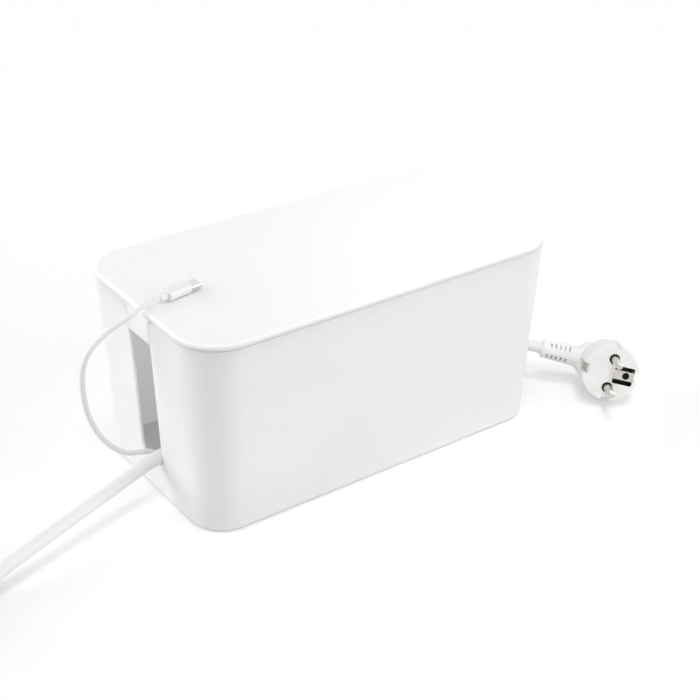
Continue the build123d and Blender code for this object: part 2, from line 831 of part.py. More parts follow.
with BuildPart() as strip_boot:
    with BuildSketch(Plane.YZ.offset(boot_root)):
        with Locations((strip_y, strip_cord_height)):
            Circle(strip_boot_radius)
    with BuildSketch(Plane.YZ.offset(boot_root + strip_boot_length)):
        with Locations((strip_y, strip_cord_height)):
            Circle(strip_boot_end_radius)
    loft()
    with BuildSketch(Plane.YZ.offset(boot_root)):
        with Locations((strip_y, strip_cord_height)):
            Circle(boot_bore - strip_boot_gap)
    extrude(amount=-strip_wall - 2 * strip_boot_gap)
    with BuildSketch(Plane.YZ.offset(boot_root - strip_wall - 2 * strip_boot_gap)):
        with Locations((strip_y, strip_cord_height)):
            Circle(strip_boot_flange)
    extrude(amount=-strip_boot_flange_thickness)
save(strip_boot.part, "strip_boot")


# ---------------------------------------------------------------- cords
def bend_radii(points):
    """Each bend takes 0.45 of its shorter run, so neighbouring bends never meet."""
    radii = []
    for before, corner, after in zip(points, points[1:], points[2:]):
        run_in = Vector(*corner) - Vector(*before)
        run_out = Vector(*after) - Vector(*corner)
        half_turn = radians(run_in.get_angle(run_out) / 2)
        radii.append(0.45 * min(run_in.length, run_out.length) / tan(half_turn))
    return radii


def cord_tube(points, diameter, name, radii=None):
    radii = radii or bend_radii(points)
    with BuildPart() as tube:
        with BuildLine() as route:
            FilletPolyline(*points, radius=radii)
        with BuildSketch(Plane(origin=points[0], z_dir=Vector(*points[1]) - Vector(*points[0]))):
            Circle(diameter / 2)
        sweep(path=route.wires()[0])
    save(tube.part, name)
    expected = pi * diameter**2 / 4 * route.wires()[0].length
    tightest = min(radii)
    print(
        f"{name}: length {route.wires()[0].length:.0f}, tightest bend {tightest:.1f}"
        f" ({tightest / diameter:.1f} diameters), volume ratio {tube.part.volume / expected:.3f}"
    )
    print("   bends", [round(radius) for radius in radii])


def tie_band(plane, inside_width, inside_height, name):
    """A flat band round a bundle, its opening drawn in the plane and its width across it."""
    outside_width = inside_width + 2 * tie_thickness
    outside_height = inside_height + 2 * tie_thickness
    with BuildPart() as band:
        with BuildSketch(plane):
            RectangleRounded(outside_width, outside_height, 2 * tie_thickness)
            RectangleRounded(inside_width, inside_height, tie_thickness, mode=Mode.SUBTRACT)
        extrude(amount=tie_width / 2, both=True)
    save(band.part, name)


hank_base = inner_floor + tie_thickness
hank_half = mains_cord / 2 + bundle_slack
hank_height = (hank_layers - 1) * hank_pitch + 2 * hank_half

cord_tube([(strip_lead_start_x, strip_y, strip_cord_height), *turn_route], mains_cord, "strip_lead_turn")

with BuildPart() as strip_lead_hank:
    with BuildSketch(Plane.XY.offset(hank_base)):
        with Locations((hank_x, hank_y)):
            SlotCenterToCenter(hank_run, 2 * (hank_bend + hank_half))
            SlotCenterToCenter(hank_run, 2 * (hank_bend - hank_half), mode=Mode.SUBTRACT)
    extrude(amount=hank_height)
    chamfer(strip_lead_hank.faces().filter_by(Axis.Z).edges(), hank_chamfer)
save(strip_lead_hank.part, "strip_lead_hank")

cord_tube([*mains_route, tuple(mains_end)], mains_cord, "strip_lead_run")
tie_band(
    Plane(origin=(hank_x, hank_y - hank_bend, hank_base + hank_height / 2), x_dir=(0, 1, 0), z_dir=(1, 0, 0)),
    2 * hank_half + tie_gap,
    hank_height,
    "hank_tie",
)

cord_tube([tuple(appliance_start), *appliance_route], appliance_cord, "appliance_lead_run")


def coil_ring(centre_x, centre_y, base, mid_radius, width, height, name):
    centre = Plane(origin=(centre_x, centre_y, base), x_dir=(1, 0, 0), z_dir=(0, -1, 0))
    with BuildPart() as ring:
        with BuildSketch(centre) as section:
            with Locations((mid_radius, height / 2)):
                Rectangle(width, height)
            chamfer(section.vertices(), min(width, height) * coil_edge_share)
        revolve(axis=Axis((centre_x, centre_y, base), (0, 0, 1)))
    save(ring.part, name)


coil_ring(coil_x, coil_y, tie_thickness, coil_radius, coil_width, coil_height, "appliance_lead_coil")
coil_middle = (coil_x, coil_y + coil_radius, tie_thickness + coil_height / 2)
tie_band(
    Plane(origin=coil_middle, x_dir=(0, 1, 0), z_dir=(1, 0, 0)),
    coil_width + tie_gap,
    coil_height,
    "coil_tie",
)
cord_tube(tail_route, appliance_cord, "appliance_lead_tail")

coil_ring(
    small_coil_x,
    small_coil_y,
    inner_floor + tie_thickness,
    small_coil_radius,
    usb_cord + 2 * bundle_slack,
    small_coil_height,
    "usb_cord_coil",
)
small_coil_middle = (
    small_coil_x,
    small_coil_y - small_coil_radius,
    inner_floor + tie_thickness + small_coil_height / 2,
)
tie_band(
    Plane(origin=small_coil_middle, x_dir=(0, 1, 0), z_dir=(1, 0, 0)),
    usb_cord + 2 * (bundle_slack + tie_gap),
    small_coil_height,
    "usb_coil_tie",
)

# ---------------------------------------------------------------- appliance lead's connector
tail_end = Vector(*tail_route[-1])
connector_frame = Plane(origin=tuple(tail_end), x_dir=(1, 0, 0), z_dir=(0, 1, 0))

with BuildPart() as connector_boot:
    with BuildSketch(connector_frame):
        Circle(boot_end_radius)
    with BuildSketch(connector_frame.offset(connector_boot_length)):
        Circle(boot_radius)
    loft()
save(connector_boot.part, "connector_boot")

iec_outline = [
    (-iec_width / 2, -iec_height / 2),
    (iec_width / 2, -iec_height / 2),
    (iec_width / 2, iec_height / 2 - iec_corner_cut),
    (iec_width / 2 - iec_corner_cut, iec_height / 2),
    (-iec_width / 2 + iec_corner_cut, iec_height / 2),
    (-iec_width / 2, iec_height / 2 - iec_corner_cut),
]
iec_slots = [*both_ends(iec_slot_pitch, -iec_slot_shift), (0, iec_slot_shift)]
iec_face = connector_boot_length + iec_length

with BuildPart() as connector_body:
    with BuildSketch(connector_frame.offset(connector_boot_length + iec_shoulder)):
        with BuildLine():
            Polyline(*iec_outline, close=True)
        make_face()
    extrude(amount=iec_length - iec_shoulder)
    fillet(connector_body.edges().filter_by(Axis.Y), iec_edge_round)
    with BuildSketch(connector_frame.offset(connector_boot_length)):
        Rectangle(2 * boot_radius, 2 * boot_radius)
    with BuildSketch(connector_frame.offset(connector_boot_length + iec_shoulder)):
        Rectangle(iec_width - iec_corner_cut, iec_height - 2 * iec_edge_round)
    loft()
    with BuildSketch(connector_frame.offset(iec_face)):
        with Locations(*iec_slots):
            Rectangle(iec_slot_height, iec_slot_width)
    extrude(amount=-iec_slot_depth, mode=Mode.SUBTRACT)
save(connector_body.part, "connector_body")

with BuildPart() as connector_contacts:
    with BuildSketch(connector_frame.offset(iec_face - iec_slot_depth)):
        with Locations(*[(x - iec_slot_height / 2 + iec_contact / 2, y) for x, y in iec_slots]):
            Rectangle(iec_contact, iec_slot_width - 2 * iec_contact_gap)
    extrude(amount=iec_slot_depth - iec_contact_drop)
save(connector_contacts.part, "connector_contacts")

# ---------------------------------------------------------------- charging cord
grip_base = strip_top_height
grip_top = grip_base + grip_length

with BuildPart() as usb_plug_shell:
    with BuildSketch(Plane.XY.offset(grip_base - usb_plug_insert)):
        with Locations(port_centre):
            Rectangle(usb_plug_width, usb_plug_height)
            offset(amount=-usb_plug_wall, mode=Mode.SUBTRACT)
    extrude(amount=usb_plug_insert)
save(usb_plug_shell.part, "usb_plug_shell")

with BuildPart() as usb_plug_grip:
    with BuildSketch(Plane.XY.offset(grip_base)):
        with Locations(port_centre):
            RectangleRounded(grip_width, grip_height, grip_corner)
    extrude(amount=grip_length)
    fillet(usb_plug_grip.faces().sort_by(Axis.Z)[-1].edges(), grip_edge_round)
    with BuildSketch(Plane.XY.offset(grip_top)):
        with Locations(port_centre):
            Circle(usb_cord / 2 + grip_boot_wall)
    with BuildSketch(Plane.XY.offset(grip_top + grip_boot_length)):
        with Locations(port_centre):
            Circle(usb_cord / 2 + grip_boot_end_wall)
    loft()
save(usb_plug_grip.part, "usb_plug_grip")

usb_start = (switch_x, port_y, grip_top + grip_boot_length)
cord_tube([usb_start, *drop_route], usb_cord, "usb_cord_drop")

grip_height_mid = total_height + charge_grip_height / 2
grip_point = (charge_grip_x, charge_grip_y, grip_height_mid)
grip_away = Vector(-cos(radians(charge_turn)), -sin(radians(charge_turn)), 0)
loop_end = tuple(Vector(*grip_point) + grip_away * (charge_grip_length + charge_collar_length))
whole_loop = [*loop_low, *loop_top, loop_end]
loop_radii = bend_radii(whole_loop)
low_last = Vector(*loop_low[-1])
top_first = Vector(*loop_top[0])
meeting = tuple((low_last + top_first) * 0.5)
low_bends = len(loop_low) - 1
cord_tube([*loop_low, meeting], usb_cord, "usb_cord_low", loop_radii[:low_bends])
cord_tube([meeting, *loop_top, loop_end], usb_cord, "usb_cord_top", loop_radii[low_bends:])

grip_frame = Plane(origin=grip_point, x_dir=(grip_away.Y, -grip_away.X, 0), z_dir=grip_away)

with BuildPart() as charge_grip:
    with BuildSketch(grip_frame):
        RectangleRounded(charge_grip_width, charge_grip_height, charge_grip_corner)
    extrude(amount=charge_grip_length)
    fillet(charge_grip.faces().sort_by(Axis.X)[-1].edges(), charge_edge_round)
    fillet(charge_grip.faces().sort_by(Axis.X)[0].edges(), charge_edge_round)
save(charge_grip.part, "charge_grip")

with BuildPart() as charge_collar:
    with BuildSketch(grip_frame.offset(charge_grip_length)):
        Circle(charge_collar_radius)
    extrude(amount=charge_collar_length)
    fillet(charge_collar.faces().sort_by(Axis.X)[0].edges(), charge_edge_round)
save(charge_collar.part, "charge_collar")

with BuildPart() as charge_tip:
    with BuildSketch(grip_frame):
        RectangleRounded(charge_tip_width, charge_tip_height, charge_tip_corner)
    extrude(amount=-charge_tip_length)
    fillet(charge_tip.faces().sort_by(Axis.X)[-1].edges(), charge_tip_round)
    with BuildSketch(grip_frame.offset(-charge_tip_length)):
        RectangleRounded(
            charge_tip_width - 2 * charge_tip_wall,
            charge_tip_height - 2 * charge_tip_wall,
            charge_tip_corner - charge_tip_wall,
        )
    extrude(amount=charge_tip_length - charge_tip_floor, mode=Mode.SUBTRACT)
save(charge_tip.part, "charge_tip")

print(len(written), "nodes")
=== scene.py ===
import bpy
from math import cos, pi, radians, sin
from mathutils import Matrix, Vector


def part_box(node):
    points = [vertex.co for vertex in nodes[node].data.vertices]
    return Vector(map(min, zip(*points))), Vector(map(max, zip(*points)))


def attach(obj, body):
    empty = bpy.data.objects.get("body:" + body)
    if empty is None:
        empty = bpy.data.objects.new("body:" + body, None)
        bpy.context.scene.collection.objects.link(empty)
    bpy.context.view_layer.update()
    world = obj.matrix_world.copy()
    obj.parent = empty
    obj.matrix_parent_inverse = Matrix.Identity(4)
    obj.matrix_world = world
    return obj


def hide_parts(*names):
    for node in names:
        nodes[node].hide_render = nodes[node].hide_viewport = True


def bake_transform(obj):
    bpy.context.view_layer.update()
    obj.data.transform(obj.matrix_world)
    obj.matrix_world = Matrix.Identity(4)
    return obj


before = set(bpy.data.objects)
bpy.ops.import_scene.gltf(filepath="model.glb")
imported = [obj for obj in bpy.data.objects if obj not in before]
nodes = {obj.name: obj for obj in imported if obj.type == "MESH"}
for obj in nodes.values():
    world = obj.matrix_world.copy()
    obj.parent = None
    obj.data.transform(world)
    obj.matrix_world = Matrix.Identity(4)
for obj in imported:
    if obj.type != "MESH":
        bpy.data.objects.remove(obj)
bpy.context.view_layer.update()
scene = bpy.context.scene
mm = 0.001
print("frame loaded:", len(nodes), "nodes")


# lengths are in mm and angles in degrees, unless a note says otherwise
mainView = {
    "lens": 76.0,
    "place": (-452.2, -640.3, 503.6),
    "azimuth": -36.38,
    "elevation": 29.77,
    "roll": 0.99,
    "farthest": 50000,
}


def placeCamera(view):
    turn = radians(view["azimuth"])
    tilt = radians(view["elevation"])
    roll = radians(view["roll"])
    back = Vector((sin(turn) * cos(tilt), -cos(turn) * cos(tilt), sin(tilt)))
    right = Vector((cos(turn), sin(turn), 0))
    up = back.cross(right)
    rolledRight = right * cos(roll) + up * sin(roll)
    rolledUp = up * cos(roll) - right * sin(roll)
    data = bpy.data.cameras.new("deskCamera")
    data.lens = view["lens"]
    data.clip_end = view["farthest"] * mm
    camera = bpy.data.objects.new("deskCamera", data)
    scene.collection.objects.link(camera)
    turned = Matrix((rolledRight, rolledUp, back)).transposed().to_4x4()
    camera.matrix_world = Matrix.Translation(Vector(view["place"]) * mm) @ turned
    scene.camera = camera


placeCamera(mainView)
scene.view_settings.view_transform = "Standard"
print("camera placed")


# how every plastic and every metal varies over its surface, noise scales in cells per metre
plasticGrain = {
    "ior": 1.48,
    "toneScale": 22,
    "glossScale": 60,
    "glossSpan": 0.05,
    "detail": 3,
    "strength": 0.5,
}
metalGrain = {
    "toneScale": 180,
    "glossScale": 500,
    "glossSpan": 0.08,
    "brushScale": 900,
    "stretch": (1, 1, 12),
    "height": 0.02,
    "strength": 0.3,
}
toneRamp = (0.3, 0.7)  # where on the noise the dark tone ends and the light one begins

# "grain" is the size of the surface's grain, "height" its height, "through" how deep light goes in,
# and "on" lists the frame's nodes that have the finish
plasticLooks = {
    "satinWallPlastic": {
        "dark": (0.94, 0.94, 0.94), "light": (0.955, 0.955, 0.953),
        "roughness": 0.5, "grain": 0.4, "height": 0.02, "through": 4.0,
        "on": ["box_body", "lid"],
    },
    "satinPlatePlastic": {
        "dark": (0.94, 0.94, 0.94), "light": (0.955, 0.955, 0.953),
        "roughness": 0.5, "grain": 0.4, "height": 0.02, "through": 1.5,
    },
    "satinFloorPlastic": {
        "dark": (0.94, 0.94, 0.94), "light": (0.955, 0.955, 0.953),
        "roughness": 0.5, "grain": 0.4, "height": 0.02,
    },
    "glossyStripPlastic": {
        "dark": (0.84, 0.84, 0.83), "light": (0.86, 0.86, 0.85),
        "roughness": 0.28, "grain": 0.9, "height": 0.01,
        "on": ["strip_base", "strip_cover"],
    },
    "satinSocketPlastic": {
        "dark": (0.75, 0.75, 0.74), "light": (0.78, 0.78, 0.77),
        "roughness": 0.42, "grain": 0.5, "height": 0.02,
        "on": ["socket_well_left", "socket_well_right", "shutter_left", "shutter_right", "rocker_frame"],
    },
    "redRockerPlastic": {
        "dark": (0.42, 0.02, 0.015), "light": (0.52, 0.035, 0.025),
        "roughness": 0.22, "grain": 0.8, "height": 0.01,
        "on": ["rocker"],
    },
    "satinPlugPlastic": {
        "dark": (0.9, 0.9, 0.895), "light": (0.92, 0.92, 0.915),
        "roughness": 0.4, "grain": 0.35, "height": 0.03,
        "on": ["appliance_plug_body", "mains_plug_body", "connector_body"],
    },
    "softBootPlastic": {
        "dark": (0.9, 0.9, 0.895), "light": (0.92, 0.92, 0.915),
        "roughness": 0.5, "grain": 0.35, "height": 0.03,
        "on": ["strip_boot", "connector_boot"],
    },
    # painted shade: a darker grey for the faces inside the boots' slits, standing in for the shade there
    "paintedShadeBootGroove": {
        "dark": (0.74, 0.74, 0.74), "light": (0.8, 0.8, 0.795),
        "roughness": 0.6, "grain": 0.35, "height": 0.03,
    },
    "softMainsSheath": {
        "dark": (0.82, 0.82, 0.817), "light": (0.845, 0.845, 0.842),
        "roughness": 0.46, "grain": 0.5, "height": 0.03,
    },
    "softChargingSheath": {
        "dark": (0.83, 0.83, 0.828), "light": (0.855, 0.855, 0.852),
        "roughness": 0.5, "grain": 0.3, "height": 0.02,
    },
    "glossyChargerPlastic": {
        "dark": (0.84, 0.84, 0.84), "light": (0.86, 0.86, 0.86),
        "roughness": 0.22, "grain": 0.8, "height": 0.008,
        "on": ["usb_plug_grip", "charge_grip", "charge_collar"],
    },
    "softFootRubber": {
        "dark": (0.05, 0.05, 0.052), "light": (0.075, 0.075, 0.078),
        "roughness": 0.75, "grain": 0.3, "height": 0.05,
        "on": ["rubber_feet"],
    },
    "nearBlackPlugRecess": {
        "dark": (0.006, 0.006, 0.006), "light": (0.012, 0.012, 0.012),
        "roughness": 0.5, "grain": 0.5, "height": 0.02,
    },
    "greyTieStrap": {
        "dark": (0.08, 0.08, 0.085), "light": (0.13, 0.13, 0.135),
        "roughness": 0.8, "grain": 0.25, "height": 0.12, "strength": 0.9,
        "on": ["hank_tie", "coil_tie", "usb_coil_tie"],
    },
    "coatedBoardGreen": {
        "dark": (0.02, 0.09, 0.035), "light": (0.035, 0.13, 0.055),
        "roughness": 0.35, "grain": 0.8, "height": 0.03,
        "on": ["charger_board"],
    },
}
metalLooks = {
    "bareContactBrass": {
        "dark": (0.62, 0.42, 0.16), "light": (0.78, 0.58, 0.28), "roughness": 0.35,
        "on": ["live_busbar", "neutral_busbar", "earth_busbar", "connector_contacts"],
    },
    "nickelPinMetal": {
        "dark": (0.62, 0.59, 0.54), "light": (0.72, 0.70, 0.65), "roughness": 0.28,
        "on": [
            "appliance_plug_pins",
            "appliance_plug_earth_plates",
            "mains_plug_pins",
            "mains_plug_earth_plates",
        ],
    },
    "zincScrewSteel": {
        "dark": (0.5, 0.5, 0.51), "light": (0.62, 0.62, 0.63), "roughness": 0.4,
        "on": ["strip_screws"],
    },
    "brightPortSteel": {
        "dark": (0.66, 0.66, 0.68), "light": (0.76, 0.76, 0.78), "roughness": 0.2,
        "on": ["usb_port", "usb_plug_shell", "charge_tip"],
    },
}
finishes = {}


def startMaterial(name):
    material = bpy.data.materials.new(name)
    material.use_nodes = True
    tree = material.node_tree
    tree.nodes.clear()
    output = tree.nodes.new("ShaderNodeOutputMaterial")
    shader = tree.nodes.new("ShaderNodeBsdfPrincipled")
    tree.links.new(shader.outputs["BSDF"], output.inputs["Surface"])
    return material, tree, shader


def objectNoise(tree, scale, detail=2, stretch=(1, 1, 1)):
    place = tree.nodes.new("ShaderNodeTexCoord")
    mapping = tree.nodes.new("ShaderNodeMapping")
    mapping.inputs["Scale"].default_value = stretch
    noise = tree.nodes.new("ShaderNodeTexNoise")
    noise.inputs["Scale"].default_value = scale
    noise.inputs["Detail"].default_value = detail
    tree.links.new(place.outputs["Object"], mapping.inputs["Vector"])
    tree.links.new(mapping.outputs["Vector"], noise.inputs["Vector"])
    return noise.outputs["Fac"]


def varyColour(tree, shader, noise, dark, light):
    ramp = tree.nodes.new("ShaderNodeValToRGB")
    for stop, position, colour in zip(ramp.color_ramp.elements, toneRamp, (dark, light)):
        stop.position = position
        stop.color = (*colour, 1)
    tree.links.new(noise, ramp.inputs["Fac"])
    tree.links.new(ramp.outputs["Color"], shader.inputs["Base Color"])


def varyRoughness(tree, shader, noise, middle, span):
    gloss = tree.nodes.new("ShaderNodeMapRange")
    gloss.inputs["To Min"].default_value = middle - span
    gloss.inputs["To Max"].default_value = middle + span
    tree.links.new(noise, gloss.inputs["Value"])
    tree.links.new(gloss.outputs["Result"], shader.inputs["Roughness"])


def raiseGrain(tree, shader, noise, height, strength):
    bump = tree.nodes.new("ShaderNodeBump")
    bump.inputs["Strength"].default_value = strength
    bump.inputs["Distance"].default_value = height * mm
    tree.links.new(noise, bump.inputs["Height"])
    tree.links.new(bump.outputs["Normal"], shader.inputs["Normal"])


def mouldedPlastic(name, look, grain):
    material, tree, shader = startMaterial(name)
    shader.inputs["IOR"].default_value = grain["ior"]
    varyColour(tree, shader, objectNoise(tree, grain["toneScale"]), look["dark"], look["light"])
    varyRoughness(tree, shader, objectNoise(tree, grain["glossScale"]), look["roughness"], grain["glossSpan"])
    fineNoise = objectNoise(tree, 1 / (look["grain"] * mm), grain["detail"])
    raiseGrain(tree, shader, fineNoise, look["height"], look.get("strength", grain["strength"]))
    if "through" in look:
        shader.inputs["Subsurface Weight"].default_value = 1
        shader.inputs["Subsurface Radius"].default_value = (1, 1, 1)
        shader.inputs["Subsurface Scale"].default_value = look["through"] * mm
    return material


def platedMetal(name, look, grain):
    material, tree, shader = startMaterial(name)
    shader.inputs["Metallic"].default_value = 1
    varyColour(tree, shader, objectNoise(tree, grain["toneScale"]), look["dark"], look["light"])
    gloss = objectNoise(tree, grain["glossScale"], stretch=grain["stretch"])
    varyRoughness(tree, shader, gloss, look["roughness"], grain["glossSpan"])
    brushed = objectNoise(tree, grain["brushScale"], stretch=grain["stretch"])
    raiseGrain(tree, shader, brushed, grain["height"], grain["strength"])
    return material


def mixFinishes():
    for name, look in plasticLooks.items():
        finishes[name] = mouldedPlastic(name, look, plasticGrain)
    for name, look in metalLooks.items():
        finishes[name] = platedMetal(name, look, metalGrain)


def dressNodes():
    for name, look in [*plasticLooks.items(), *metalLooks.items()]:
        for node in look.get("on", []):
            slots = nodes[node].data.materials
            slots.clear()
            slots.append(finishes[name])


def finishFaces(node, finish, chosen):
    mesh = nodes[node].data
    mesh.materials.append(finishes[finish])
    for polygon in mesh.polygons:
        if chosen(polygon):
            polygon.material_index = 1


mixFinishes()
dressNodes()
print("finishes on the frame's own nodes")


# less light passes the lid's plate and the box's floor than the thin walls
boxPlates = {
    "level": 0.5,  # least upright share of a level face's normal
    "floorTop": 6,
}


def inLidPlate(polygon):
    return polygon.normal.z > boxPlates["level"]


def inBoxFloor(polygon):
    low = polygon.center.z < boxPlates["floorTop"] * mm
    return low and abs(polygon.normal.z) > boxPlates["level"]


finishFaces("lid", "satinPlatePlastic", inLidPlate)
finishFaces("box_body", "satinFloorPlastic", inBoxFloor)
print("plate of the lid and floor of the box finished")


# the plugs' rings round the pins and the pocket under the earth plate are coloured near black
plugRecess = {
    "pocketAt": 8.4,  # its middle, along the earth plates' line
    "pocketLength": 12.8,
    "pocketWidth": 11.8,
    "pinAt": 9.5,
    "ring": 3.4,  # radius
    "slack": 0.05,
    "deepest": 8,
}
plugFaces = {
    "mains_plug_body": {
        "face": (166.7, -82.5, 22.9),
        "side": (0.751, -0.628, -0.203),
        "pins": (-0.571, -0.773, 0.279),
    },
    "appliance_plug_body": {
        "face": (21, -22, 26.5),
        "side": (1, 0, 0),
        "pins": (0, 0, -1),
    },
}


def inPocketOrRing(along, across, recess):
    slack = recess["slack"]
    inLength = abs(along - recess["pocketAt"]) < recess["pocketLength"] / 2 + slack
    inWidth = abs(across) < recess["pocketWidth"] / 2 + slack
    fromPin = (along**2 + (abs(across) - recess["pinAt"]) ** 2) ** 0.5
    return (inLength and inWidth) or fromPin < recess["ring"] + slack


def blackenRecesses(node, place):
    pins = Vector(place["pins"]).normalized()
    up = pins.cross(Vector(place["side"])).normalized()
    side = up.cross(pins)

    def inRecess(polygon):
        offset = polygon.center / mm - Vector(place["face"])
        sunk = plugRecess["slack"] < -offset.dot(pins) < plugRecess["deepest"]
        return sunk and inPocketOrRing(offset.dot(side), offset.dot(up), plugRecess)

    finishFaces(node, "nearBlackPlugRecess", inRecess)


for node, place in plugFaces.items():
    blackenRecesses(node, place)
print("plug recesses blackened")


# the plugs' boots, with rows of short slits sunk into the soft moulding; the slits' faces are painted a
# darker grey as shade
# a row is given by its angle from the pins and its first slit's distance from the thin end
slitBoot = {
    "length": 22.97,
    "thick": 7,  # radius at the plug
    "thin": 5.9,  # radius at the cord's end
    "edge": 0.5,
    "edgeRings": (0, 1 / 3, 1),  # shares of the rounded edge
    "around": 120,
    "rows": [(-35, 4.2), (40, 5.7), (145, 4.2), (220, 5.7)],
    "slits": 5,
    "pitch": 3.05,
    "slitWidth": 1.15,
    "slitArc": 28,
    "slitFloor": 4.4,  # radius
    "wallRun": 0.05,
    "bore": 3.5,  # radius
    "sharp": 35,
}
bootPlaces = {
    "mains_plug_boot": {
        "thin": (151.5, -33.27, 23.37),
        "heading": (-0.7203, 0.6677, 0.1882),
        "pins": (-0.5706, -0.7725, 0.2788),
    },
    "appliance_plug_boot": {
        "thin": (-21.44, -22, 55.72),
        "heading": (-0.9986, 0, 0.0523),
        "pins": (0, 0, -1),
    },
}


def slitCentres(first, boot):
    return [first + number * boot["pitch"] for number in range(boot["slits"])]


def slitAt(fromThin, angle, boot):
    halfWidth = (boot["slitWidth"] + boot["wallRun"]) / 2
    for middle, first in boot["rows"]:
        apart = abs((angle - middle + 180) % 360 - 180)
        if apart <= boot["slitArc"] / 2:
            if any(abs(fromThin - centre) < halfWidth for centre in slitCentres(first, boot)):
                return True
    return False


def bootRadius(fromThin, angle, boot):
    if slitAt(fromThin, angle, boot):
        return boot["slitFloor"]
    share = fromThin / boot["length"]
    outer = boot["thin"] + (boot["thick"] - boot["thin"]) * share
    return outer - boot["edge"] * max(0, 1 - fromThin / boot["edge"]) ** 2


def bootStations(boot):
    stations = {boot["edge"] * share for share in boot["edgeRings"]}
    stations.add(boot["length"])
    for middle, first in boot["rows"]:
        for centre in slitCentres(first, boot):
            for side in (-1, 1):
                rim = centre + side * boot["slitWidth"] / 2
                stations.add(round(rim, 4))
                stations.add(round(rim + side * boot["wallRun"], 4))
    return sorted(stations)


def ringBand(first, second, count):
    faces = []
    for step in range(count):
        after = (step + 1) % count
        faces.append((first + step, first + after, second + after, second + step))
    return faces


def bootFaces(rings, count):
    lastRing = (rings - 1) * count
    thinRim = rings * count
    thickRim = thinRim + count
    faces = []
    for ring in range(rings - 1):
        faces += ringBand(ring * count, (ring + 1) * count, count)
    faces += ringBand(thinRim, 0, count)
    faces += ringBand(lastRing, thickRim, count)
    faces.append(tuple(reversed(range(thinRim, thinRim + count))))
    faces.append(tuple(range(thickRim, thickRim + count)))
    return faces


def mouldBoot(name, place, boot):
    thin = Vector(place["thin"])
    along = Vector(place["heading"]).normalized()
    pins = Vector(place["pins"])
    pins = (pins - along * pins.dot(along)).normalized()
    side = along.cross(pins)
    stations = bootStations(boot)
    angles = [360 * step / boot["around"] for step in range(boot["around"])]

    def pointAt(fromThin, angle, radius):
        spoke = pins * cos(radians(angle)) + side * sin(radians(angle))
        return (thin - along * fromThin + spoke * radius) * mm

    points = []
    for fromThin in stations:
        points += [pointAt(fromThin, angle, bootRadius(fromThin, angle, boot)) for angle in angles]
    for fromThin in (0, boot["length"]):
        points += [pointAt(fromThin, angle, boot["bore"]) for angle in angles]
    mesh = bpy.data.meshes.new(name)
    mesh.from_pydata(points, [], bootFaces(len(stations), boot["around"]))
    mesh.update()
    mesh.materials.append(finishes["softBootPlastic"])
    mesh.materials.append(finishes["paintedShadeBootGroove"])
    for polygon in mesh.polygons:
        fromEnd = polygon.center / mm - thin
        fromThin = -fromEnd.dot(along)
        radius = (fromEnd + along * fromThin).length
        between = boot["edge"] < fromThin < boot["length"] - boot["edge"]
        # faces inside a slit get the darker grey of painted shade
        inSlit = between and radius < boot["thin"] - boot["edge"]
        polygon.material_index = 1 if inSlit else 0
        polygon.use_smooth = True
    mesh.set_sharp_from_angle(angle=radians(boot["sharp"]))
    piece = bpy.data.objects.new(name, mesh)
    scene.collection.objects.link(piece)
    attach(piece, "box")
    return piece


mainsPlugBoot = mouldBoot("mainsPlugBoot", bootPlaces["mains_plug_boot"], slitBoot)
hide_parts("mains_plug_boot")
appliancePlugBoot = mouldBoot("appliancePlugBoot", bootPlaces["appliance_plug_boot"], slitBoot)
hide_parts("appliance_plug_boot")
print("slit boots moulded")


# every cord is a smooth curve through its route
cordMesh = {"order": 3, "steps": 5, "rounding": 5}


def routeCurve(name, route, thickness, finish):
    curve = bpy.data.curves.new(name, "CURVE")
    curve.dimensions = "3D"
    curve.resolution_u = cordMesh["steps"]
    spline = curve.splines.new("NURBS")
    spline.points.add(len(route) - 1)
    for point, place in zip(spline.points, route):
        point.co = (*[value * mm for value in place], 1)
    spline.order_u = cordMesh["order"]
    spline.use_endpoint_u = True
    curve.bevel_depth = thickness / 2 * mm
    curve.bevel_resolution = cordMesh["rounding"]
    curve.use_fill_caps = True
    curve.materials.append(finishes[finish])
    piece = bpy.data.objects.new(name, curve)
    scene.collection.objects.link(piece)
    return piece


def blendOver(share):
    share = min(1, max(0, share))
    return share * share * (3 - 2 * share)


stripLead = {
    "thickness": 7.5,
    "length": 1.49,  # m
    "start": [(65.1, -22, 14)],
    "turn": [
        (79.7, -22, 14),
        (96.6, -15.9, 13.4),
        (108.8, -3.4, 12.2),
        (114.2, 13.3, 10.9),
        (111.3, 31.6, 9.7),
        (99.6, 46.9, 8.7),
        (81.1, 55, 8.2),
        (65, 55, 8.1),
    ],
    "toPlug": [
        (67, 9.2, 31.5),
        (86, 9, 30.8),
        (101, 6.6, 30),
        (113.5, 1.2, 29.2),
        (123.5, -6.8, 28.4),
        (133.5, -16.2, 27.2),
        (142.9, -25.2, 25.6),
    ],
    "end": [(151.5, -33.27, 23.37)],
}
# the spare length, wound to and fro: it rises a layer on each right-hand bend
hank = {
    "x": 10,
    "y": 32,
    "run": 90,
    "bend": 23,
    "low": 8.2,
    "pitch": 7.8,
    "layers": 4,
    "steps": 6,
    "riseFrom": 30,
    "riseOver": 120,
}


